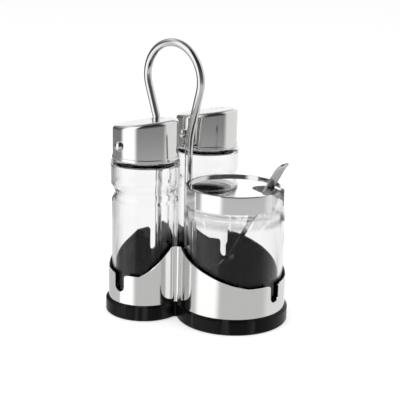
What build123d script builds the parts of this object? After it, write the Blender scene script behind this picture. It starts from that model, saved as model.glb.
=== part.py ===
from build123d import *
import os
from math import acos, atan2, cos, degrees, radians, sin, sqrt, tan

os.makedirs("parts", exist_ok=True)

# Condiment stand: a three-lobed black tray in a polished steel band, with a wire carrying loop,
# two glass shakers side by side at the back and a spice jar with lid and spoon in front.
# Millimetres. Origin: on the table, on the jar's axis. +Z up, +Y towards the shakers.

# ---- glass shakers -------------------------------------------------------------------------
bottle_overhang = 1.3         # bulge beyond the cap
bottle_body_step = 0.8        # straight lower body inside the bulge
bottle_groove_depth = 2.4     # waist inside the lower body
bottle_wall = 2.4
bottle_floor = 5.5
bottle_body_height = 73.5     # up to where the groove starts
bottle_groove_drop = 5.0      # groove start to groove bottom
bottle_groove_rise = 5.8      # groove bottom to the bulge
bottle_bulge_height = 16.2    # bulge up to the shoulder
bottle_foot_round = 3.0
bottle_groove_round = 4.0
bottle_shoulder_round = 2.6
neck_wall = 2.4
neck_height = 12.5

# ---- shaker closures -----------------------------------------------------------------------
sifter_clearance = 0.3        # black insert to the glass
sifter_wall = 1.4
sifter_flange = 0.8           # web from the collar to the guide ring
sifter_disc = 1.5
sifter_plug_depth = 7.0
sifter_hole_radius = 1.1
sifter_hole_pitch = 4.0
sifter_row_azimuth = -50.0
cap_radius = 21.5
cap_wall = 0.7
cap_turn_gap = 0.08           # radial running fit of cap on insert
cap_seat_gap = 0.3            # cap hem to the glass shoulder
cap_hem_height = 2.3
cap_hem_bulge = 0.5
cap_height = 23.9             # hem bottom to the middle of the slanted top
cap_slant = 8.5               # degrees
cap_high_azimuth = -80.0      # the tall side of the cap faces the front
cap_edge_round = 2.6
guide_ring_lift = 2.5         # guide ring above the glass shoulder, inside the cap
guide_ring_height = 4.0
guide_ring_wall = 1.4
pour_hole_radius = 1.1
pour_hole_pitch = 4.2
pour_hole_reach = 12.5        # row of holes, off the axis
pour_hole_azimuth = 8.0
hole_count = 3
knob_height = 10.0            # knob axis above the cap hem
knob_azimuth = 173.0
knob_radius = 3.3
knob_reach = 3.0
knob_stem_radius = 1.5
knob_rivet_radius = 2.4
knob_rivet_height = 0.9
knob_fit = 0.05
knob_room = 2.7               # inside the cap, for the knob's rivet

# ---- spice jar, lid, spoon ------------------------------------------------------------------
jar_radius = 33.0
jar_wall = 2.8
jar_floor = 6.0
jar_body_height = 73.0        # floor of the tray to the shoulder
jar_foot_round = 4.0
jar_shoulder_round = 3.2
jar_neck_step = 1.8           # neck inside the body
jar_neck_height = 10.5
jar_neck_wall = 3.2
lid_fit = 0.5                 # skirt to the jar's neck
lid_wall = 0.6
lid_seat_gap = 0.1
lid_recess = 1.6              # mirror plate below the rim
lid_rim_width = 1.5
lid_skirt_height = 11.4
lid_rim_round = 0.6
lid_slot_width = 15.0
lid_slot_offset = 15.0        # middle line of the spoon slot, sideways from the axis
lid_slot_start = 3.5          # inner end of the slot, along its middle line
lid_slot_azimuth = -109.0
spoon_thickness = 1.2
spoon_azimuth = -90.0
spoon_lean = 30.0             # degrees from upright
spoon_reach = 20.9            # where the handle passes the lid, off the axis
spoon_side = 6.5              # sideways from the axis
spoon_handle_length = 81.8
spoon_shaft_width = 4.8
spoon_end_width = 10.0
spoon_end_length = 44.5       # wide part of the handle
spoon_flare_length = 8.0      # shaft to wide part
spoon_curl_radius = 18.0
spoon_curl_angle = 26.0
spoon_bowl_blend = 9.5        # handle runs this far into the bowl
spoon_bowl_length = 32.0
spoon_bowl_width = 21.0
spoon_bowl_depth = 5.0
spoon_floor_gap = 0.6

# ---- stand -----------------------------------------------------------------------------------
vessel_gap = 0.6              # glass to tray wall, all round
tray_wall = 1.0
tray_floor = 4.0
band_thickness = 0.5
band_groove_fit = 0.05
band_foot = 5.0               # lower edge of the band, in its groove
lobe_gap = 0.4                # between the front lobe and a rear lobe
handle_aisle = 16.0           # free space between the two shakers
front_notch_radius = 3.4      # hollow where the front lobe meets a rear lobe
rear_notch_depth = 2.9        # wall between the shakers, in from the backs of the lobes
rim_ledge = 1.9
rim_height = 10.2             # at the band
rim_bevel_drop = 1.5
rim_bevel_inset = 0.05
foot_chamfer = 0.6
band_low = 30.0               # upper edge at the outermost side of each lobe
band_peak = 48.4              # upper edge where lobes meet
tray_step = 0.6               # tray wall below the steel edge
jar_low_angle = 33.5          # half width of the low part, jar lobe
rear_low_front_angle = 37.0   # half widths of the low part, shaker lobes
rear_low_back_angle = 40.0
rear_peak_angle = 52.0        # azimuth on a shaker lobe where the back peak starts
peak_round = 5.0
slot_width = 8.0
slot_floor = 18.0
rear_slot_floor = 31.0
slot_corner_round = 2.2
slot_cut_depth = 8.6          # through band and tray wall, with room
seam_gap = 0.3

# ---- wire handle -----------------------------------------------------------------------------
wire_radius = 2.75
handle_leg_gap = 2.2          # rear leg to tray wall
handle_leg_spacing = 25.6
loop_radius = 23.8
loop_top = 180.3
loop_taper = 16.7             # degrees, sides of the loop running in to the legs
loop_blend_radius = 62.0
loop_lean = 2.3               # degrees, the loop leans to the left above the legs
loop_lean_radius = 150.0
boss_radius = 6.5
boss_height = 5.0
stud_radius = 2.0
stud_fit = 0.1
washer_radius = 4.2
washer_thickness = 0.8
nut_flats = 7.0
nut_thickness = 2.6
nut_fit = 0.04
recess_fit = 0.3              # round the washer, under the tray
recess_depth = 4.4
stud_end_gap = 0.5            # stud end above the table

# ---- derived sizes ---------------------------------------------------------------------------
bottle_top_radius = cap_radius + bottle_overhang
bottle_radius = bottle_top_radius - bottle_body_step
bottle_waist_radius = bottle_radius - bottle_groove_depth
collar_radius = cap_radius - cap_wall - knob_room
neck_outer_radius = collar_radius - sifter_wall - sifter_clearance
neck_bore_radius = neck_outer_radius - neck_wall
jar_neck_radius = jar_radius - jar_neck_step
jar_mouth_radius = jar_neck_radius - jar_neck_wall
lid_radius = jar_neck_radius + lid_fit + lid_wall

wall_stack = vessel_gap + tray_wall + band_groove_fit + band_thickness
jar_lobe = jar_radius + wall_stack
rear_lobe = bottle_radius + wall_stack
rear_x = bottle_top_radius + handle_aisle / 2
lobe_distance = jar_lobe + rear_lobe + lobe_gap
rear_y = sqrt(lobe_distance**2 - rear_x**2)
rear_notch_y = rear_y + rear_lobe - rear_notch_depth
rear_notch_radius = (rear_x**2 + (rear_notch_y - rear_y)**2 - rear_lobe**2) / (2 * rear_notch_depth)
handle_rear_y = rear_notch_y - band_thickness - band_groove_fit - tray_wall - handle_leg_gap - wire_radius
handle_front_y = handle_rear_y - handle_leg_spacing
handle_mid_y = (handle_front_y + handle_rear_y) / 2
boss_top = tray_floor + boss_height
far = 2 * (jar_lobe + rear_lobe + rear_y)

bottle_groove_z = bottle_body_height + bottle_groove_drop
bottle_bulge_z = bottle_groove_z + bottle_groove_rise
bottle_shoulder_z = bottle_bulge_z + bottle_bulge_height
bottle_top_z = bottle_shoulder_z + neck_height
shoulder_level = tray_floor + bottle_shoulder_z
cap_level = shoulder_level + cap_seat_gap
sifter_disc_level = tray_floor + bottle_top_z + sifter_clearance

jar_mouth_level = tray_floor + jar_body_height + jar_neck_height
lid_plate_level = jar_mouth_level + lid_seat_gap
lid_top_level = lid_plate_level + lid_wall + lid_recess
jar_inner_floor = tray_floor + jar_floor

shakers = {"left": -rear_x, "right": rear_x}


def polar(centre, radius, azimuth):
    """Point at a radius and an azimuth in degrees from a centre, in plan."""
    return (centre[0] + radius * cos(radians(azimuth)), centre[1] + radius * sin(radians(azimuth)))


def azimuth_of(centre, point):
    return degrees(atan2(point[1] - centre[1], point[0] - centre[0]))


def front_notch_centre():
    """Centre of the hollow between the jar lobe and the left lobe, outside the band."""
    to_jar = jar_lobe + front_notch_radius
    to_rear = rear_lobe + front_notch_radius
    opening = acos((lobe_distance**2 + to_jar**2 - to_rear**2) / (2 * lobe_distance * to_jar))
    towards_left = azimuth_of((0, 0), (-rear_x, rear_y))
    return polar((0, 0), to_jar, towards_left + degrees(opening))


def trefoil(inset):
    """Face bounded by the stand's outline: the band's outer face moved in by inset."""
    jar = (0, 0)
    left = (-rear_x, rear_y)
    right = (rear_x, rear_y)
    notch_left = front_notch_centre()
    notch_right = (-notch_left[0], notch_left[1])
    notch_back = (0, rear_notch_y + rear_notch_radius)
    jar_start = azimuth_of(jar, notch_left)
    jar_end = azimuth_of(jar, notch_right) + 360
    right_start = azimuth_of(right, notch_right)
    right_end = azimuth_of(right, notch_back)
    left_start = azimuth_of(left, notch_back)
    left_end = azimuth_of(left, notch_left) + 360
    front_sweep = azimuth_of(notch_right, right) - (azimuth_of(notch_right, jar) + 360)
    back_sweep = azimuth_of(notch_back, left) - azimuth_of(notch_back, right)
    hollow = front_notch_radius + inset
    edges = [
        CenterArc(jar, jar_lobe - inset, jar_start, jar_end - jar_start),
        CenterArc(notch_right, hollow, azimuth_of(notch_right, jar), front_sweep),
        CenterArc(right, rear_lobe - inset, right_start, right_end - right_start),
        CenterArc(notch_back, rear_notch_radius + inset, azimuth_of(notch_back, right), back_sweep),
        CenterArc(left, rear_lobe - inset, left_start, left_end - left_start),
        CenterArc(notch_left, hollow, azimuth_of(notch_left, left), front_sweep),
    ]
    return Face(Wire(edges))


def prism(inset, low, high):
    """Solid with the stand's outline between two heights."""
    return extrude(Pos(0, 0, low) * trefoil(inset), high - low)


def slope_cutter(plane, kink, peak, drop, start, depth):
    """Removes what lies above the edge line: level up to kink, then rising to the peak."""
    low = band_low - drop
    high = band_peak - drop
    beyond = peak + (peak - kink) / abs(peak - kink) * 2 * peak_round
    before = kink - (peak - kink) / abs(peak - kink) * far
    outline = Polyline((before, low), (kink, low), (peak, high), (beyond, high),
                       (beyond, far), (before, far), close=True)
    face = make_face(outline)
    shoulder = face.vertices().sort_by_distance((peak, high))[0]
    face = fillet(shoulder, peak_round)
    return extrude(Plane(origin=(0, start, 0) if plane == "rear" else (start, 0, 0),
                         x_dir=(1, 0, 0) if plane == "rear" else (0, 1, 0),
                         z_dir=(0, -1, 0) if plane == "rear" else (1, 0, 0)) * face, depth)


def slot_cutter(edge, floor, centre, azimuth, reach):
    """Round-bottomed slot through the wall, open at the edge, with rounded upper corners."""
    half = slot_width / 2
    lip = half + 2 * slot_corner_round
    outline = Polyline((-lip, far), (-lip, edge), (-half, edge), (-half, floor), (half, floor),
                       (half, edge), (lip, edge), (lip, far), close=True)
    face = make_face(outline)
    bottom = face.vertices().filter_by_position(Axis.Y, floor, floor)
    face = fillet(bottom, half - seam_gap / 2)
    corners = [face.vertices().sort_by_distance((side * half, edge))[0] for side in (-1, 1)]
    face = fillet(corners, slot_corner_round)
    plane = Plane(origin=(reach - slot_cut_depth / 2, 0, 0), x_dir=(0, 1, 0), z_dir=(1, 0, 0))
    cutter = extrude(plane * face, slot_cut_depth)
    return Pos(centre[0], centre[1], 0) * Rot(0, 0, azimuth) * cutter


def edge_cutters(drop):
    """Everything that shapes the wavy upper edge of the band and of the tray wall."""
    cutters = []
    notch = front_notch_centre()
    jar_kink = -jar_lobe * cos(radians(jar_low_angle))
    jar_peak = polar((0, 0), jar_lobe, azimuth_of((0, 0), notch))[1]
    cutters.append(slope_cutter("jar", jar_kink, jar_peak, drop, -2 * jar_lobe, 4 * jar_lobe))
    kink_front = rear_x + rear_lobe * cos(radians(rear_low_front_angle))
    kink_back = rear_x + rear_lobe * cos(radians(rear_low_back_angle))
    peak_front = -polar((-rear_x, rear_y), rear_lobe, azimuth_of((-rear_x, rear_y), notch))[0]
    peak_back = rear_x - rear_lobe * cos(radians(rear_peak_angle))
    for side in (-1, 1):
        cutters.append(slope_cutter("rear", side * kink_front, side * peak_front, drop,
                                    rear_y, rear_lobe + band_thickness))
        cutters.append(slope_cutter("rear", side * kink_back, side * peak_back, drop,
                                    rear_y + 2 * rear_lobe, 2 * rear_lobe))
        cutters.append(slot_cutter(band_low - drop, slot_floor - drop, (side * rear_x, rear_y),
                                   90 - side * 90, rear_lobe))
    cutters.append(slot_cutter(band_low - drop, slot_floor - drop, (0, 0), -90, jar_lobe))
    cutters.append(slot_cutter(band_peak - drop, rear_slot_floor - drop, (0, 0), 90, rear_notch_y))
    return cutters


def steel_band():
    """One strip of polished sheet round all three lobes, closed by a seam under the left slot."""
    band = prism(0, band_foot, band_peak) - prism(band_thickness, band_foot, band_peak)
    for cutter in edge_cutters(0):
        band -= cutter
    seam_x = -rear_x - rear_lobe
    return band - Pos(seam_x, rear_y, 0) * Box(slot_cut_depth, seam_gap, 2 * slot_floor)


def base_tray():
    """Moulded tray: floor, bevelled rim, groove for the band, thin inner wall, two handle bosses."""
    groove_in = band_thickness + band_groove_fit
    plinth = prism(-rim_ledge, 0, rim_height)
    top_edges = plinth.faces().sort_by(Axis.Z)[-1].outer_wire().edges()
    plinth = chamfer(top_edges, rim_bevel_drop, rim_ledge - band_groove_fit - rim_bevel_inset)
    plinth = chamfer(plinth.faces().sort_by(Axis.Z)[0].outer_wire().edges(), foot_chamfer)
    plinth -= prism(-band_groove_fit, band_foot, far)
    wall = prism(groove_in, 0, band_peak - tray_step)
    for cutter in edge_cutters(tray_step):
        wall -= cutter
    tray = plinth + wall - prism(groove_in + tray_wall, tray_floor, far)
    for leg_y in (handle_front_y, handle_rear_y):
        boss = Pos(0, leg_y, tray_floor) * extrude(Circle(boss_radius), boss_height)
        tray += boss & prism(groove_in + tray_wall / 2, 0, far)
        tray -= Pos(0, leg_y, 0) * extrude(Circle(washer_radius + recess_fit), recess_depth)
        tray -= Pos(0, leg_y, 0) * extrude(Circle(stud_radius + stud_fit), far)
    return tray


def wire_handle():
    """Round bar bent to a loop that leans a little; its legs end in threaded studs."""
    half = handle_leg_spacing / 2
    taper = radians(loop_taper)
    lean = radians(loop_lean)
    loop_z = loop_top - wire_radius - loop_radius
    side = (loop_radius * cos(taper), loop_z - loop_radius * sin(taper))
    corner_z = side[1] - (side[0] - half) / tan(taper)
    run = loop_blend_radius * tan(taper / 2)
    low = (half, corner_z - run)
    high = (half + run * sin(taper), corner_z + run * cos(taper))
    bend = (half + loop_blend_radius * (1 - cos(taper / 2)), low[1] + loop_blend_radius * sin(taper / 2))
    bend_end = low[1]
    bend_start = bend_end - loop_lean_radius * sin(lean)
    sway = loop_lean_radius * (1 - cos(lean))

    def at(point, sign):
        """Place of a point of the loop, whose plane leans above the legs."""
        rise = point[1] - bend_end
        return (-sway - rise * sin(lean), handle_mid_y + sign * point[0], bend_end + rise * cos(lean))

    edges = []
    for sign in (-1, 1):
        leg_y = handle_mid_y + sign * half
        middle = (-loop_lean_radius * (1 - cos(lean / 2)), leg_y, bend_start + loop_lean_radius * sin(lean / 2))
        edges.append(Line((0, leg_y, boss_top), (0, leg_y, bend_start)))
        edges.append(ThreePointArc((0, leg_y, bend_start), middle, at(low, sign)))
        edges.append(ThreePointArc(at(low, sign), at(bend, sign), at(high, sign)))
        edges.append(Line(at(high, sign), at(side, sign)))
    edges.append(ThreePointArc(at(side, -1), at((0, loop_z + loop_radius), 1), at(side, 1)))
    start = Plane(origin=(0, handle_front_y, boss_top), z_dir=(0, 0, 1))
    handle = sweep(start * Circle(wire_radius), path=Wire(edges))
    for leg_y in (handle_front_y, handle_rear_y):
        handle += Pos(0, leg_y, stud_end_gap) * extrude(Circle(stud_radius), boss_top - stud_end_gap)
    return handle


def handle_washers():
    """Flat washers in the recesses under the tray."""
    ring = Circle(washer_radius) - Circle(stud_radius + stud_fit)
    level = recess_depth - washer_thickness
    washers = [Pos(0, y, level) * extrude(ring, washer_thickness) for y in (handle_front_y, handle_rear_y)]
    return Compound(children=washers)


def handle_nuts():
    """Hexagon nuts that clamp the studs from below."""
    hexagon = RegularPolygon(nut_flats / 2, 6, major_radius=False) - Circle(stud_radius + nut_fit)
    level = recess_depth - washer_thickness - nut_thickness
    nuts = [Pos(0, y, level) * extrude(hexagon, nut_thickness) for y in (handle_front_y, handle_rear_y)]
    return Compound(children=nuts)


def turned(points, radii):
    """Body of revolution about Z from a closed outline of (radius, height), some corners rounded."""
    face = make_face(Plane.XZ * Polyline(*points, close=True))
    for point, radius in radii:
        corner = face.vertices().sort_by_distance((point[0], 0, point[1]))[0]
        face = fillet(corner, radius)
    return revolve(face, Axis.Z)


def bottle(x):
    """Thick-walled glass shaker body with a finger groove and a narrower neck."""
    inner = bottle_radius - bottle_wall
    inner_waist = bottle_waist_radius - bottle_wall
    inner_top = bottle_top_radius - bottle_wall
    inner_shoulder = bottle_shoulder_z - bottle_wall
    points = [
        (0, 0), (bottle_radius, 0), (bottle_radius, bottle_body_height),
        (bottle_waist_radius, bottle_groove_z), (bottle_top_radius, bottle_bulge_z),
        (bottle_top_radius, bottle_shoulder_z), (neck_outer_radius, bottle_shoulder_z),
        (neck_outer_radius, bottle_top_z), (neck_bore_radius, bottle_top_z),
        (neck_bore_radius, inner_shoulder), (inner_top, inner_shoulder), (inner_top, bottle_bulge_z),
        (inner_waist, bottle_groove_z), (inner, bottle_body_height), (inner, bottle_floor),
        (0, bottle_floor),
    ]
    rounds = [
        (points[1], bottle_foot_round), (points[2], bottle_groove_round),
        (points[3], bottle_groove_round), (points[4], bottle_groove_round),
        (points[5], bottle_shoulder_round), (points[10], bottle_shoulder_round),
        (points[11], bottle_groove_round), (points[12], bottle_groove_round),
        (points[13], bottle_groove_round), (points[14], bottle_foot_round),
    ]
    return Pos(x, rear_y, tray_floor) * turned(points, rounds)


def hole_row(radius, pitch, reach, azimuth, row_azimuth):
    """Places of a straight row of holes, centred at a reach and azimuth off the axis."""
    middle = polar((0, 0), reach, azimuth)
    offsets = [(index - (hole_count - 1) / 2) * pitch for index in range(hole_count)]
    cutter = extrude(Circle(radius), far)
    return [Pos(*polar(middle, offset, row_azimuth), 0) * cutter for offset in offsets]


def sifter(x):
    """Black insert: guide ring in the cap, collar over the neck, plug in it, holed disc."""
    guide_outer = cap_radius - cap_wall - cap_turn_gap
    guide_inner = guide_outer - guide_ring_wall
    guide_low = shoulder_level + guide_ring_lift
    guide_top = guide_low + guide_ring_height
    flange_top = guide_low + sifter_flange
    neck_side = neck_outer_radius + sifter_clearance
    plug_radius = neck_bore_radius - sifter_clearance
    disc_top = sifter_disc_level + sifter_disc
    plug_end = sifter_disc_level - sifter_plug_depth
    points = [
        (neck_side, shoulder_level), (collar_radius, shoulder_level), (collar_radius, guide_low),
        (guide_outer, guide_low), (guide_outer, guide_top), (guide_inner, guide_top),
        (guide_inner, flange_top), (collar_radius, flange_top), (collar_radius, disc_top),
        (0, disc_top), (0, sifter_disc_level),
        (plug_radius - sifter_wall, sifter_disc_level), (plug_radius - sifter_wall, plug_end),
        (plug_radius, plug_end), (plug_radius, sifter_disc_level), (neck_side, sifter_disc_level),
    ]
    insert = turned(points, [])
    for hole in hole_row(sifter_hole_radius, sifter_hole_pitch, 0, 0, sifter_row_azimuth):
        insert -= hole
    return Pos(x, rear_y, 0) * insert


def cap(x):
    """Pressed steel cap with a slanted top, a rolled hem, a row of pouring holes and a knob hole."""
    hem_top = cap_level + cap_hem_height
    middle = cap_level + cap_height
    slope = Pos(0, 0, middle) * Rot(0, 0, cap_high_azimuth) * Rot(0, -cap_slant, 0)
    shell = Pos(0, 0, cap_level) * extrude(Circle(cap_radius), 2 * cap_height)
    shell -= slope * extrude(Circle(far), far)
    shell = fillet(shell.faces().sort_by(Axis.Z)[-1].outer_wire().edges(), cap_edge_round)
    hollow = Pos(0, 0, cap_level) * extrude(Circle(cap_radius - cap_wall), 2 * cap_height)
    hollow -= Pos(0, 0, -cap_wall / cos(radians(cap_slant))) * slope * extrude(Circle(far), far)
    hollow = fillet(hollow.faces().sort_by(Axis.Z)[-1].outer_wire().edges(), cap_edge_round - cap_wall)
    hem = turned([(cap_radius - cap_wall / 2, cap_level), (cap_radius + cap_hem_bulge, cap_level),
                  (cap_radius + cap_hem_bulge, hem_top), (cap_radius - cap_wall / 2, hem_top)],
                 [((cap_radius + cap_hem_bulge, cap_level), cap_hem_bulge),
                  ((cap_radius + cap_hem_bulge, hem_top), cap_hem_bulge)])
    shell = shell - hollow + hem
    for hole in hole_row(pour_hole_radius, pour_hole_pitch, pour_hole_reach, pour_hole_azimuth,
                         pour_hole_azimuth + 90):
        shell -= hole
    stem = Plane(origin=(0, 0, cap_level + knob_height), z_dir=(1, 0, 0))
    shell -= Rot(0, 0, knob_azimuth) * extrude(stem * Circle(knob_stem_radius + knob_fit), far)
    return Pos(x, rear_y, 0) * shell


def cap_knob(x):
    """Domed button riveted through the low side of the cap."""
    inner = cap_radius - cap_wall - knob_fit
    outer = cap_radius + knob_fit
    sagitta = cap_radius - sqrt(cap_radius**2 - knob_rivet_radius**2)
    rivet = inner - sagitta
    points = [
        (0, rivet - knob_rivet_height), (knob_rivet_radius, rivet - knob_rivet_height),
        (knob_rivet_radius, rivet), (knob_stem_radius, rivet), (knob_stem_radius, outer),
        (knob_radius, outer), (knob_radius, outer + knob_reach), (0, outer + knob_reach),
    ]
    knob = turned(points, [(points[6], knob_reach - knob_fit)])
    return Pos(x, rear_y, cap_level + knob_height) * Rot(0, 0, knob_azimuth) * Rot(0, 90, 0) * knob


def jar_glass():
    """Wide thick-walled jar with a short neck that the lid fits over."""
    inner = jar_radius - jar_wall
    mouth = jar_body_height + jar_neck_height
    shoulder_inside = jar_body_height - jar_wall
    points = [
        (0, 0), (jar_radius, 0), (jar_radius, jar_body_height), (jar_neck_radius, jar_body_height),
        (jar_neck_radius, mouth), (jar_mouth_radius, mouth), (jar_mouth_radius, shoulder_inside),
        (inner, shoulder_inside), (inner, jar_floor), (0, jar_floor),
    ]
    step = jar_radius - jar_neck_radius
    rounds = [
        (points[1], jar_foot_round), (points[2], step - knob_fit), (points[7], step),
        (points[8], jar_foot_round),
    ]
    return Pos(0, 0, tray_floor) * turned(points, rounds)


def jar_lid():
    """Pressed steel lid: raised rim, recessed plate, skirt, and a slot for the spoon."""
    outer = lid_radius
    inner = lid_radius - lid_wall
    rim_inner = lid_radius - lid_wall - lid_rim_width
    skirt_end = lid_top_level - lid_skirt_height
    plate_top = lid_plate_level + lid_wall
    points = [
        (0, lid_plate_level), (rim_inner, lid_plate_level), (rim_inner, lid_top_level - lid_wall),
        (inner, lid_top_level - lid_wall), (inner, skirt_end), (outer, skirt_end),
        (outer, lid_top_level), (rim_inner - lid_wall, lid_top_level), (rim_inner - lid_wall, plate_top),
        (0, plate_top),
    ]
    lid = turned(points, [(points[6], lid_rim_round), (points[7], lid_rim_round / 2)])
    end_round = lid_slot_width / 2
    end_centre = lid_slot_start + end_round
    round_end = Pos(end_centre, lid_slot_offset, 0) * Circle(end_round)
    length = 2 * lid_radius
    straight = Pos(end_centre + length / 2, lid_slot_offset, 0) * Rectangle(length, lid_slot_width)
    slot = Rot(0, 0, lid_slot_azimuth) * extrude(round_end + straight, far)
    return lid - slot


def spoon_outline():
    """Plan of the spoon laid flat: neck at the origin, handle along +X."""
    wide = spoon_handle_length - spoon_end_length
    shaft = wide - spoon_flare_length
    half = spoon_shaft_width / 2
    end_half = spoon_end_width / 2
    points = [(-spoon_bowl_blend, half), (shaft, half), (wide, end_half), (spoon_handle_length, end_half)]
    mirrored = [(x, -y) for x, y in reversed(points)]
    face = make_face(Polyline(*points, *mirrored, close=True))
    tips = face.vertices().filter_by_position(Axis.X, spoon_handle_length, spoon_handle_length)
    face = fillet(tips, end_half - spoon_thickness / 2)
    flare = face.vertices().filter_by_position(Axis.X, shaft, wide)
    return fillet(flare, spoon_flare_length / 2)


def spoon():
    """Flat stamped spoon, curled at the end of the handle, leaning in the jar through the lid."""
    straight = spoon_handle_length - spoon_curl_radius * radians(spoon_curl_angle)
    curl = radians(spoon_curl_angle)
    inner = spoon_curl_radius - spoon_thickness / 2
    outer = spoon_curl_radius + spoon_thickness / 2

    def curl_point(radius, angle):
        return (straight + radius * sin(angle), -spoon_curl_radius + radius * cos(angle))

    back = -spoon_bowl_blend
    side = make_face([
        Line((back, -spoon_thickness / 2), (straight, -spoon_thickness / 2)),
        ThreePointArc(curl_point(inner, 0), curl_point(inner, curl / 2), curl_point(inner, curl)),
        Line(curl_point(inner, curl), curl_point(outer, curl)),
        ThreePointArc(curl_point(outer, curl), curl_point(outer, curl / 2), curl_point(outer, 0)),
        Line((straight, spoon_thickness / 2), (back, spoon_thickness / 2)),
        Line((back, spoon_thickness / 2), (back, -spoon_thickness / 2)),
    ])
    strip = extrude(Plane.XZ * side, spoon_bowl_width, both=True)
    strip &= extrude(spoon_outline(), far, both=True)
    half_length = spoon_bowl_length / 2
    half_width = spoon_bowl_width / 2
    wall = spoon_thickness
    outer_bowl = scale(Sphere(1), by=(half_length, half_width, spoon_bowl_depth + wall))
    inner_bowl = scale(Sphere(1), by=(half_length - wall, half_width - wall, spoon_bowl_depth))
    rim = Pos(0, 0, wall / 2) * extrude(Rectangle(far, far), far)
    centre = Pos(wall - half_length, 0, 0)
    shape = strip - centre * inner_bowl + centre * (outer_bowl - inner_bowl - rim)
    low_end = spoon_bowl_length - 2 * wall
    lean = radians(spoon_lean)
    foot_height = low_end * cos(lean) + spoon_bowl_depth * sin(lean)
    neck_z = jar_inner_floor + spoon_floor_gap + foot_height
    neck_reach = spoon_reach - (lid_plate_level - neck_z) * tan(lean)
    placed = Pos(neck_reach, spoon_side, neck_z) * Rot(0, spoon_lean - 90, 0) * shape
    return Rot(0, 0, spoon_azimuth) * placed


export_step(base_tray(), "parts/base_tray.step")
export_step(steel_band(), "parts/steel_band.step")
export_step(wire_handle(), "parts/wire_handle.step")
export_step(handle_washers(), "parts/handle_washers.step")
export_step(handle_nuts(), "parts/handle_nuts.step")
for name, x in shakers.items():
    export_step(bottle(x), f"parts/{name}_bottle.step")
    export_step(sifter(x), f"parts/{name}_sifter.step")
    export_step(cap(x), f"parts/{name}_cap.step")
    export_step(cap_knob(x), f"parts/{name}_knob.step")
export_step(jar_glass(), "parts/jar_glass.step")
export_step(jar_lid(), "parts/jar_lid.step")
export_step(spoon(), "parts/spoon.step")
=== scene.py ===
# %% [markdown]
# # A condiment stand: steel, glass and black plastic
# A black tray with three round places stands in a band of polished steel. Two glass shakers and a
# glass jar with a lid and a spoon stand in it, and a wire loop carries everything.
# All these forms come from the CAD model. This lesson gives them their finishes and then builds the
# studio, because polished steel and clear glass show little but the room round them. Lengths are in
# metres, and +Z is up.

import math

import bpy
from mathutils import Matrix, Vector


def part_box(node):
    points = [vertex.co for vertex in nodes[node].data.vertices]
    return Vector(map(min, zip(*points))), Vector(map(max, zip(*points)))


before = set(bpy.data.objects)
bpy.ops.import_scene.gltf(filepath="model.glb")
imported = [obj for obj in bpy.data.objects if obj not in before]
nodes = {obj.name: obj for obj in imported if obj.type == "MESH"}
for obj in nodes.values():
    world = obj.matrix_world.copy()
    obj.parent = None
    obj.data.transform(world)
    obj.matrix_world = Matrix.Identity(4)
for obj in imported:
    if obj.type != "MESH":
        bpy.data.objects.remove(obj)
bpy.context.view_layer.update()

# %% [markdown]
# ## Helpers for materials
# Every finish is a Principled shader with a few nodes in front of it. Nodes could be added one by one
# with all their settings, but small helpers keep the cells short: one starts a material, and the
# others add a node and set its numbers in the same line.


# %% Materials and nodes
def set_sockets(node, values):
    """Sets a node's sockets by name, with an underscore for each space."""
    for name, value in values.items():
        node.inputs[name.replace("_", " ")].default_value = value


def new_material(name, **sockets):
    """A material with a Principled shader whose sockets are set by name."""
    material = bpy.data.materials.new(name)
    material.use_nodes = True
    shader = material.node_tree.nodes["Principled BSDF"]
    set_sockets(shader, sockets)
    return material, shader


def add_node(tree, kind, **sockets):
    """A node of that kind, with its sockets set by name."""
    node = tree.nodes.new(kind)
    set_sockets(node, sockets)
    return node


def math_node(tree, operation, second=0.5, kind="ShaderNodeMath"):
    """A math node for numbers or vectors, with its second input set."""
    node = tree.nodes.new(kind)
    node.operation = operation
    node.inputs[1].default_value = second
    return node


def remap(tree, low=0.0, high=1.0, to_low=0.0, to_high=1.0, smooth=False):
    """A node that turns the range low to high into the range to_low to to_high."""
    node = add_node(tree, "ShaderNodeMapRange", From_Min=low, From_Max=high, To_Min=to_low, To_Max=to_high)
    node.interpolation_type = "SMOOTHSTEP" if smooth else "LINEAR"
    return node


print("helpers ready")

# %% [markdown]
# ## Fine marks in polished steel
# Polished sheet is never a perfect mirror: the buffing wheel leaves hair-fine lines, and handling
# leaves a faint uneven film. Modelling the lines would cost millions of faces, so they are small
# changes of roughness and height. The effect is one node group, which the band, the caps, the lid,
# the handle and the spoon share, each with its own values.


# %% Group for polished metal
def add_inputs(group, **values):
    """Number inputs for a node group, with their starting values."""
    for name, value in values.items():
        made = group.interface.new_socket(name, in_out="INPUT", socket_type="NodeSocketFloat")
        made.default_value = value


def add_outputs(group, *names):
    """Number outputs for a node group."""
    for name in names:
        group.interface.new_socket(name, in_out="OUTPUT", socket_type="NodeSocketFloat")


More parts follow.
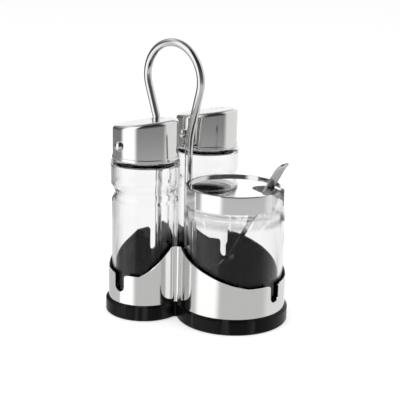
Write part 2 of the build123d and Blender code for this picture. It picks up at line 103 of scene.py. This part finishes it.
def polish_group():
    """Lines from the buffing wheel and a film from handling, as roughness and height."""
    group = bpy.data.node_groups.new("polish_marks", "ShaderNodeTree")
    group.interface.new_socket("Stretch", in_out="INPUT", socket_type="NodeSocketVector")
    add_inputs(group, Fineness=900.0, Smoothest=0.04, Roughest=0.12, Film=0.04)
    add_outputs(group, "Roughness", "Height")
    start = group.nodes.new("NodeGroupInput")
    end = group.nodes.new("NodeGroupOutput")
    place = group.nodes.new("ShaderNodeTexCoord")
    stretch = group.nodes.new("ShaderNodeVectorMath")
    stretch.operation = "MULTIPLY"
    lines = add_node(group, "ShaderNodeTexNoise", Detail=3.0)
    film = add_node(group, "ShaderNodeTexNoise", Scale=38.0, Detail=4.0)
    spread = remap(group)
    smear = math_node(group, "MULTIPLY_ADD")
    link = group.links.new
    link(place.outputs["Object"], stretch.inputs[0])
    link(start.outputs["Stretch"], stretch.inputs[1])
    link(stretch.outputs[0], lines.inputs["Vector"])
    link(start.outputs["Fineness"], lines.inputs["Scale"])
    link(place.outputs["Object"], film.inputs["Vector"])
    link(lines.outputs["Fac"], spread.inputs["Value"])
    link(start.outputs["Smoothest"], spread.inputs["To Min"])
    link(start.outputs["Roughest"], spread.inputs["To Max"])
    link(film.outputs["Fac"], smear.inputs[0])
    link(start.outputs["Film"], smear.inputs[1])
    link(spread.outputs["Result"], smear.inputs[2])
    link(smear.outputs[0], end.inputs["Roughness"])
    link(lines.outputs["Fac"], end.inputs["Height"])
    return group


polish = polish_group()
print("group", polish.name, [item.name for item in polish.interface.items_tree])

# %% [markdown]
# ## Polished steel
# The band, the caps, the lid, the handle and the spoon are polished stainless steel, and the washers
# and nuts below are zinc plated. The lines run with the polishing: round the caps and the band, along
# the handle. The noise is stretched for that, which is simpler than unwrapping each part. One
# function makes all the steels.

# %% Steel finishes
mark_depth = 0.0002
round_lines = (0.4, 0.4, 3.0)
long_lines = (3.0, 0.5, 0.5)
all_ways = (1.0, 1.0, 1.0)
coarse_marks = (2.0, 2.0, 2.0)


def steel(name, tint, stretch, smoothest, roughest, bump=0.02):
    """Polished steel: tint is its brightness, stretch the way its lines run."""
    material, shader = new_material(name, Base_Color=(tint, tint, tint * 0.99, 1.0), Metallic=1.0)
    tree = material.node_tree
    marks = tree.nodes.new("ShaderNodeGroup")
    marks.node_tree = polish
    set_sockets(marks, {"Stretch": stretch, "Smoothest": smoothest, "Roughest": roughest})
    dent = add_node(tree, "ShaderNodeBump", Strength=bump, Distance=mark_depth)
    tree.links.new(marks.outputs["Height"], dent.inputs["Height"])
    tree.links.new(marks.outputs["Roughness"], shader.inputs["Roughness"])
    tree.links.new(dent.outputs["Normal"], shader.inputs["Normal"])
    return material


band_steel = steel("band_steel", 0.80, round_lines, smoothest=0.05, roughest=0.12)
cap_steel = steel("cap_steel", 0.80, round_lines, smoothest=0.04, roughest=0.11)
lid_steel = steel("lid_steel", 0.82, all_ways, smoothest=0.02, roughest=0.06)
handle_steel = steel("handle_steel", 0.74, long_lines, smoothest=0.02, roughest=0.06)
# Painted shade: the spoon's low tint of 0.40 darkens the whole spoon, which stands in the shade of the
# black tray.
spoon_steel = steel("spoon_steel", 0.40, long_lines, smoothest=0.10, roughest=0.2)
fixing_steel = steel("fixing_steel", 0.55, coarse_marks, smoothest=0.25, roughest=0.4, bump=0.1)
print("steels", [material.name for material in bpy.data.materials if "steel" in material.name])

# %% [markdown]
# ## Painted shade in the steel
# In the photograph the spoon is darkest at its bowl, which stands in the shade between the black walls of
# the tray, and the slot of the lid shows a shaded inside. Reflections alone come out too bright here. Both
# are one piece with the bright steel, so the same material gets a painted shade: its colour gets darker
# below a height. For the lid only the inside is meant, so the distance from the jar's axis counts too. Two
# materials on the faces would do it as well, but with a hard edge.

# %% Painted shade low down
lid_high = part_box("jar_lid")[1]
lid_sheet = 0.0006
plate_below_rim = 0.0022
lid_plate_underside = lid_high.z - plate_below_rim
lid_skirt_inside = lid_high.y - lid_sheet
bowl_height = 0.035
spoon_bright_height = 0.1
anywhere = 1.0


def paint_shade_below(material, low, high, dark, within=anywhere):
    """Painted shade: steel fades to dark from high down to low, nearer the jar's axis than within."""
    tree = material.node_tree
    shader = tree.nodes["Principled BSDF"]
    bright = shader.inputs["Base Color"].default_value[0]
    place = tree.nodes.new("ShaderNodeTexCoord")
    apart = tree.nodes.new("ShaderNodeSeparateXYZ")
    flat = math_node(tree, "MULTIPLY", (1.0, 1.0, 0.0), kind="ShaderNodeVectorMath")
    radius = tree.nodes.new("ShaderNodeVectorMath")
    radius.operation = "LENGTH"
    outside = math_node(tree, "GREATER_THAN", within)
    height = remap(tree, low, high)
    either = math_node(tree, "MAXIMUM")
    tone = remap(tree, to_low=dark, to_high=bright)
    link = tree.links.new
    link(place.outputs["Object"], apart.inputs[0])
    link(place.outputs["Object"], flat.inputs[0])
    link(flat.outputs[0], radius.inputs[0])
    link(radius.outputs["Value"], outside.inputs[0])
    link(apart.outputs["Z"], height.inputs["Value"])
    link(height.outputs["Result"], either.inputs[0])
    link(outside.outputs[0], either.inputs[1])
    link(either.outputs[0], tone.inputs["Value"])
    link(tone.outputs["Result"], shader.inputs["Base Color"])


# Painted shade: the spoon's colour darkens towards its bowl, which stands in the tray.
paint_shade_below(spoon_steel, bowl_height, spoon_bright_height, dark=0.04)
into_sheet = lid_sheet / 6.0
# Painted shade: the lid's colour darkens under its plate, inside the skirt.
paint_shade_below(lid_steel, lid_plate_underside + into_sheet, lid_plate_underside + 4.0 * into_sheet, dark=0.12,
             within=lid_skirt_inside + lid_sheet / 2.0)
print("darker below", bowl_height, "on the spoon and", round(lid_plate_underside, 4), "in the lid")

# %% [markdown]
# ## Moulded black plastic
# The tray and the shaker inserts are moulded in black plastic with a soft gloss. The mould leaves a
# very fine grain, the gloss varies a little where the plastic flowed, and the grey has faint lighter
# upright streaks. An image could hold all this, but noise read from the part's own coordinates needs no
# unwrapping and never shows a seam.


# %% Group for plastic
def mould_group():
    """Grain, uneven gloss and faint upright streaks, as height, roughness and a grey."""
    group = bpy.data.node_groups.new("moulded_grain", "ShaderNodeTree")
    add_inputs(group, Grain=1600.0, Low=0.2, High=0.35, Dark=0.004, Light=0.02)
    add_outputs(group, "Roughness", "Height", "Grey")
    start = group.nodes.new("NodeGroupInput")
    end = group.nodes.new("NodeGroupOutput")
    place = group.nodes.new("ShaderNodeTexCoord")
    upright = math_node(group, "MULTIPLY", (1.0, 1.0, 0.06), kind="ShaderNodeVectorMath")
    streaks = add_node(group, "ShaderNodeTexNoise", Scale=170.0, Detail=2.0)
    tone = remap(group, low=0.5, high=0.75, smooth=True)
    grain = add_node(group, "ShaderNodeTexNoise", Detail=2.0)
    flow = add_node(group, "ShaderNodeTexNoise", Scale=60.0, Detail=3.0)
    gloss = remap(group)
    link = group.links.new
    link(place.outputs["Object"], grain.inputs["Vector"])
    link(start.outputs["Grain"], grain.inputs["Scale"])
    link(grain.outputs["Fac"], end.inputs["Height"])
    link(place.outputs["Object"], flow.inputs["Vector"])
    link(flow.outputs["Fac"], gloss.inputs["Value"])
    link(start.outputs["Low"], gloss.inputs["To Min"])
    link(start.outputs["High"], gloss.inputs["To Max"])
    link(gloss.outputs["Result"], end.inputs["Roughness"])
    link(place.outputs["Object"], upright.inputs[0])
    link(upright.outputs[0], streaks.inputs["Vector"])
    link(streaks.outputs["Fac"], tone.inputs["Value"])
    link(start.outputs["Dark"], tone.inputs["To Min"])
    link(start.outputs["Light"], tone.inputs["To Max"])
    link(tone.outputs["Result"], end.inputs["Grey"])
    return group


moulded = mould_group()
print("group", moulded.name, [item.name for item in moulded.interface.items_tree])

# %% [markdown]
# ## Plastic finishes
# The tray has the lighter upright streaks in its grey. The inserts, inside the caps, have fainter
# ones. Both use the group, with a weak bump for the grain: black plastic shows its
# surface mainly in the highlights.


# %% Plastic finishes
def plastic(name, dark, light, low, high):
    """Black plastic between two greys and between two roughnesses."""
    material, shader = new_material(name, Specular_IOR_Level=0.12)
    tree = material.node_tree
    grain = tree.nodes.new("ShaderNodeGroup")
    grain.node_tree = moulded
    set_sockets(grain, {"Low": low, "High": high, "Dark": dark, "Light": light})
    dent = add_node(tree, "ShaderNodeBump", Strength=0.08, Distance=mark_depth)
    tree.links.new(grain.outputs["Height"], dent.inputs["Height"])
    tree.links.new(grain.outputs["Roughness"], shader.inputs["Roughness"])
    tree.links.new(grain.outputs["Grey"], shader.inputs["Base Color"])
    tree.links.new(dent.outputs["Normal"], shader.inputs["Normal"])
    return material


tray_plastic = plastic("tray_plastic", dark=0.004, light=0.035, low=0.2, high=0.34)
sifter_plastic = plastic("sifter_plastic", dark=0.004, light=0.012, low=0.22, high=0.36)
print("plastics", tray_plastic.name, sifter_plastic.name)

# %% [markdown]
# ## Pressed glass
# The shakers and the jar are pressed glass: clear, thick at the foot, and never quite flat, because
# the gob of glass shrinks unevenly in the mould. A slow wave in the surface bends what is seen
# through it. About the shoulder, black plastic and steel stand in the glass as hard dark lines that
# the photograph does not show. So from there upwards the glass lets part of the light straight
# through. Real glass does not do that, but thinner glass would change the CAD part.

# %% Glass finishes
shaker_faint_below_top = 0.009
jar_faint_below_top = 0.0155
shaker_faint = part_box("left_bottle")[1].z - shaker_faint_below_top
jar_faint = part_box("jar_glass")[1].z - jar_faint_below_top
fade_height = 0.006
wave_depth = 0.001


def glass(name, wave, scale, faint_from):
    """Clear glass with a slow wave, that fades to faint just below a height."""
    material, shader = new_material(name, Base_Color=(1.0, 1.0, 1.0, 1.0), Roughness=0.0, IOR=1.5,
                                    Transmission_Weight=1.0, Specular_Tint=(0.4, 0.4, 0.4, 1.0))
    tree = material.node_tree
    place = tree.nodes.new("ShaderNodeTexCoord")
    flow = add_node(tree, "ShaderNodeTexNoise", Scale=scale, Detail=1.0)
    dent = add_node(tree, "ShaderNodeBump", Strength=wave, Distance=wave_depth)
    apart = tree.nodes.new("ShaderNodeSeparateXYZ")
    faint = remap(tree, faint_from - fade_height, faint_from, to_low=1.0, to_high=0.3, smooth=True)
    link = tree.links.new
    link(place.outputs["Object"], apart.inputs[0])
    link(apart.outputs["Z"], faint.inputs["Value"])
    link(faint.outputs["Result"], shader.inputs["Alpha"])
    link(place.outputs["Object"], flow.inputs["Vector"])
    link(flow.outputs["Fac"], dent.inputs["Height"])
    link(dent.outputs["Normal"], shader.inputs["Normal"])
    return material


shaker_glass = glass("shaker_glass", wave=0.08, scale=70.0, faint_from=shaker_faint)
jar_clear = glass("jar_glass", wave=0.08, scale=55.0, faint_from=jar_faint)
print("glass", shaker_glass.name, jar_clear.name, "faint from", round(shaker_faint, 4), round(jar_faint, 4))

# %% [markdown]
# ## Give the CAD parts their finishes
# The CAD parts already have the right shape and smooth normals, so nothing is modelled again and each
# only gets its material. The two shakers are alike, so a loop serves both.

# %% Assign finishes
finish_of = {
    "base_tray": tray_plastic,
    "steel_band": band_steel,
    "wire_handle": handle_steel,
    "handle_washers": fixing_steel,
    "handle_nuts": fixing_steel,
    "jar_glass": jar_clear,
    "jar_lid": lid_steel,
    "spoon": spoon_steel,
}
for side in ("left", "right"):
    finish_of[side + "_bottle"] = shaker_glass
    finish_of[side + "_sifter"] = sifter_plastic
    finish_of[side + "_cap"] = cap_steel
    finish_of[side + "_knob"] = cap_steel
for name, material in finish_of.items():
    nodes[name].data.materials.clear()
    nodes[name].data.materials.append(material)
print("finishes on", len(finish_of), "parts")

# %% [markdown]
# ## The camera
# The photograph is a short telephoto view from a little above, with the jar in front on the right and
# a slight roll. Its place was worked out from the circles of tray, jar, lid and caps. The camera's
# three axes are built from the turn and the tilt and then rolled, and they become its matrix.

# %% Camera
camera_place = Vector((-0.4688705, -0.3688257, 0.2380995))
camera_turn, camera_tilt, camera_roll = (math.radians(v) for v in (-49.636, 14.93, 1.2605))
lens_length = 85.196
film_width = 36.0

across = Vector((math.cos(camera_turn), math.sin(camera_turn), 0.0))
ahead = Vector((-math.sin(camera_turn) * math.cos(camera_tilt),
                math.cos(camera_turn) * math.cos(camera_tilt), -math.sin(camera_tilt)))
up = across.cross(ahead)
across, up = (across * math.cos(camera_roll) + up * math.sin(camera_roll),
              up * math.cos(camera_roll) - across * math.sin(camera_roll))
camera_data = bpy.data.cameras.new("photo_camera")
camera_data.lens = lens_length
camera_data.sensor_width = film_width
camera = bpy.data.objects.new("photo_camera", camera_data)
bpy.context.scene.collection.objects.link(camera)
axes = Matrix((across, up, -ahead)).transposed()
camera.matrix_world = Matrix.Translation(camera_place) @ axes.to_4x4()
bpy.context.scene.camera = camera
print("camera at", [round(v, 3) for v in camera_place])

# %% [markdown]
# ## Floor and room
# The stand is on a plain pale floor in a white room. A strong lamp could burn the background out to
# white, but it would burn out the pale steel as well. So the floor and the room are white only where
# the camera or a view through glass meets them, and they light the stand more gently. Polished steel
# sees a dark ceiling, which draws the dark edges of caps and handle.


# %% White where it is seen
def see_white(tree, strength, plain, seen, in_steel):
    """Glows at seen for the camera and through glass, at in_steel in reflections, else at plain."""
    path = tree.nodes.new("ShaderNodeLightPath")
    direct = math_node(tree, "MAXIMUM")
    lift = math_node(tree, "MULTIPLY_ADD", seen - plain)
    lift.inputs[2].default_value = plain
    mirrored = math_node(tree, "MULTIPLY_ADD", in_steel - plain)
    link = tree.links.new
    link(path.outputs["Is Camera Ray"], direct.inputs[0])
    link(path.outputs["Is Transmission Ray"], direct.inputs[1])
    link(direct.outputs[0], lift.inputs[0])
    link(path.outputs["Is Glossy Ray"], mirrored.inputs[0])
    link(lift.outputs[0], mirrored.inputs[2])
    link(mirrored.outputs[0], strength)


floor_material, floor_shader = new_material("studio_floor", Base_Color=(0.8, 0.8, 0.8, 1.0), Roughness=0.9,
                                            Emission_Color=(1.0, 1.0, 1.0, 1.0), Specular_IOR_Level=0.0)
see_white(floor_material.node_tree, floor_shader.inputs["Emission Strength"], plain=0.0, seen=0.5,
          in_steel=0.5)
bpy.ops.mesh.primitive_plane_add(size=12.0, location=(0.0, 0.0, -0.0002))
floor = bpy.context.object
floor.name = "studio_floor"
floor.data.materials.append(floor_material)
floor.visible_glossy = floor.visible_transmission = False

world = bpy.data.worlds.new("white_room")
bpy.context.scene.world = world
world.use_nodes = True
room_light = world.node_tree.nodes["Background"]
room_light.inputs["Color"].default_value = (1.0, 1.0, 1.0, 1.0)
see_white(world.node_tree, room_light.inputs["Strength"], plain=0.6, seen=1.0, in_steel=0.2)
print("floor and room")

# %% [markdown]
# ## Soft lamps
# A product photographer lights such a set from large soft boxes. Three square lamps, above, on the
# left and on the right, give the plastic its sheen and the floor its faint shadow. They are hidden
# from reflections, because the steel's reflections come from the cards below.

# %% Lamps
middle = Vector((0.0, 0.025, 0.08))


def soft_lamp(name, azimuth, elevation, distance, size, power):
    """A square soft lamp that points at the middle of the stand."""
    turn, tilt = math.radians(azimuth), math.radians(elevation)
    offset = Vector((math.cos(turn) * math.cos(tilt), math.sin(turn) * math.cos(tilt), math.sin(tilt)))
    data = bpy.data.lights.new(name, "AREA")
    data.shape = "SQUARE"
    data.size = size
    data.energy = power
    lamp = bpy.data.objects.new(name, data)
    bpy.context.scene.collection.objects.link(lamp)
    lamp.location = middle + offset * distance
    lamp.rotation_euler = (-offset).to_track_quat("-Z", "Y").to_euler()
    lamp.visible_glossy = False
    return lamp


lamps = [
    soft_lamp("top_light", azimuth=0.0, elevation=89.0, distance=1.2, size=1.2, power=4.0),
    soft_lamp("left_light", azimuth=170.0, elevation=35.0, distance=1.3, size=0.8, power=3.0),
    soft_lamp("right_light", azimuth=-60.0, elevation=35.0, distance=1.5, size=0.8, power=1.5),
]
print("lamps", [lamp.name for lamp in lamps])

# %% [markdown]
# ## How a card glows
# Polished steel shows nothing but the room, so a product photographer stands cards round it. They
# could be lamps, but a lamp has one brightness. A card's brightness changes with its height, through
# a colour ramp, so its bands follow the steel's own curves. Its upright edges fade, so that the steel
# goes softly from white to grey.

# %% Card material
wall_radius = 2.0
wall_foot, wall_head = -65.0, 78.0
camera_side = -139.6
full_turn = 360.0


def level_of(elevation):
    """Height on the round wall that is seen at this angle above the middle of the stand."""
    return middle.z + wall_radius * math.tan(math.radians(elevation))


def height_glow(tree, levels):
    """An emission whose brightness follows the height; levels pair an angle with a brightness."""
    low, high = level_of(levels[0][0]), level_of(levels[-1][0])
    place = tree.nodes.new("ShaderNodeTexCoord")
    apart = tree.nodes.new("ShaderNodeSeparateXYZ")
    height = remap(tree, low, high)
    ramp = tree.nodes.new("ShaderNodeValToRGB")
    stops = ramp.color_ramp.elements
    for number, (angle, brightness) in enumerate(levels):
        share = (level_of(angle) - low) / (high - low)
        stop = stops[number] if number < 2 else stops.new(share)
        stop.position = share
        stop.color = (brightness, brightness, brightness, 1.0)
    glow = tree.nodes.new("ShaderNodeEmission")
    tree.links.new(place.outputs["Object"], apart.inputs[0])
    tree.links.new(apart.outputs["Z"], height.inputs["Value"])
    tree.links.new(height.outputs["Result"], ramp.inputs["Fac"])
    tree.links.new(ramp.outputs["Color"], glow.inputs["Color"])
    return glow


def edge_fade(tree, start, end, soft):
    """0 on the card and 1 at its two upright edges, by the angle round the middle."""
    half = (end - start) / 2.0
    place = tree.nodes.new("ShaderNodeTexCoord")
    centred = tree.nodes.new("ShaderNodeMapping")
    centred.inputs["Location"].default_value = (-middle.x, -middle.y, 0.0)
    facing = tree.nodes.new("ShaderNodeVectorRotate")
    facing.rotation_type = "Z_AXIS"
    facing.inputs["Angle"].default_value = -math.radians(camera_side + (start + end) / 2.0)
    turn = tree.nodes.new("ShaderNodeTexGradient")
    turn.gradient_type = "RADIAL"
    from_middle = math_node(tree, "SUBTRACT", 0.5)
    aside = tree.nodes.new("ShaderNodeMath")
    aside.operation = "ABSOLUTE"
    edge = remap(tree, (half - 2.0 * soft) / full_turn, half / full_turn, smooth=True)
    link = tree.links.new
    link(place.outputs["Object"], centred.inputs["Vector"])
    link(centred.outputs["Vector"], facing.inputs["Vector"])
    link(facing.outputs["Vector"], turn.inputs["Vector"])
    link(turn.outputs["Fac"], from_middle.inputs[0])
    link(from_middle.outputs[0], aside.inputs[0])
    link(aside.outputs[0], edge.inputs["Value"])
    return edge.outputs["Result"]


def card_material(name, levels, start, end, soft):
    """A glowing card that fades to clear at its upright edges."""
    material = bpy.data.materials.new(name)
    material.use_nodes = True
    tree = material.node_tree
    tree.nodes.clear()
    glow = height_glow(tree, levels)
    clear = tree.nodes.new("ShaderNodeBsdfTransparent")
    fade = tree.nodes.new("ShaderNodeMixShader")
    out = tree.nodes.new("ShaderNodeOutputMaterial")
    tree.links.new(edge_fade(tree, start, end, soft), fade.inputs["Fac"])
    tree.links.new(glow.outputs[0], fade.inputs[1])
    tree.links.new(clear.outputs[0], fade.inputs[2])
    tree.links.new(fade.outputs[0], out.inputs["Surface"])
    return material


print("cards stand", wall_radius, "m away, up to", round(level_of(wall_head), 2), "m high")

# %% [markdown]
# ## The shape of a card
# Each card is a tall strip of a round wall. A flat plane would show a slanted edge in the curved
# steel, so the card is an upright edge that is spun round the stand: a plane is merged to one vertex,
# pushed out to the wall, drawn up to an edge and spun. Only reflections and what glass bends into
# view show it.


# %% One card
def wall_card(name, start, end, levels, soft, behind):
    """A card between two directions, in degrees from the camera's side, a little behind the wall."""
    bpy.ops.object.select_all(action="DESELECT")
    bpy.ops.mesh.primitive_plane_add(size=0.1, location=middle)
    card = bpy.context.object
    card.name = name
    bpy.ops.object.transform_apply(location=True)
    bpy.ops.object.mode_set(mode="EDIT")
    bpy.ops.mesh.merge(type="CENTER")
    start, end = start - soft, end + soft
    turn = math.radians(camera_side + start)
    outwards = Vector((math.cos(turn), math.sin(turn), 0.0)) * (wall_radius + behind)
    bpy.ops.transform.translate(value=outwards + Vector((0.0, 0.0, level_of(wall_foot) - middle.z)))
    rise = level_of(wall_head) - level_of(wall_foot)
    bpy.ops.mesh.extrude_vertices_move(TRANSFORM_OT_translate={"value": (0.0, 0.0, rise)})
    bpy.ops.mesh.select_all(action="SELECT")
    bpy.ops.mesh.spin(steps=24, angle=-math.radians(end - start), center=middle, axis=(0.0, 0.0, 1.0))
    bpy.ops.object.mode_set(mode="OBJECT")
    card.data.materials.append(card_material(name, levels, start, end, soft))
    card.visible_camera = card.visible_diffuse = card.visible_shadow = card.visible_volume_scatter = False
    return card


print("ready to stand the cards")

# %% [markdown]
# ## Five cards
# A bright card on the left and a pale one on the right draw the long highlights. Between them, on the
# camera's side, is the dark end of the room above a pale table, which gives the steel its grey faces
# and its almost black upper edges. Behind the stand are a pale card, which the lid's plate shows, and
# a dark one with a bright top. Each pair is an angle above the middle of the stand and a brightness.

# %% Stand the cards
table_and_dark_room = [(-65, 0.5), (-22, 0.6), (-15, 0.58), (-10, 0.26), (0, 0.13), (12, 0.09), (30, 0.04),
                       (60, 0.02)]
dark_with_bright_top = [(-65, 0.8), (-18, 0.62), (-11, 0.24), (0, 0.1), (12, 0.11), (30, 0.35), (48, 0.9),
                        (60, 0.5), (78, 0.1)]
pale_behind = [(-65, 0.95), (-16, 0.95), (5, 0.98), (13, 1.2), (18, 1.2), (28, 0.5), (62, 0.2), (78, 0.08)]
bright = [(-65, 0.9), (-35, 1.0), (-20, 1.3), (50, 1.2), (62, 0.3), (78, 0.1)]
pale = [(-65, 0.6), (-14, 0.85), (0, 0.8), (20, 0.9), (50, 0.85), (62, 0.25), (78, 0.08)]
cards = [
    wall_card("camera_side_card", -95.0, 265.0, table_and_dark_room, soft=0.0, behind=0.1),
    wall_card("back_left_card", -168.0, -84.0, dark_with_bright_top, soft=10.0, behind=0.05),
    wall_card("back_card", 140.0, 200.0, pale_behind, soft=10.0, behind=0.04),
    wall_card("left_card", -84.0, -32.0, bright, soft=8.0, behind=0.0),
    wall_card("right_card", 74.0, 150.0, pale, soft=10.0, behind=0.02),
]
print("cards", [card.name for card in cards])

# %% [markdown]
# ## Keep white as white
# The Standard view keeps white as white.

# %% View transform
bpy.context.scene.view_settings.view_transform = "Standard"
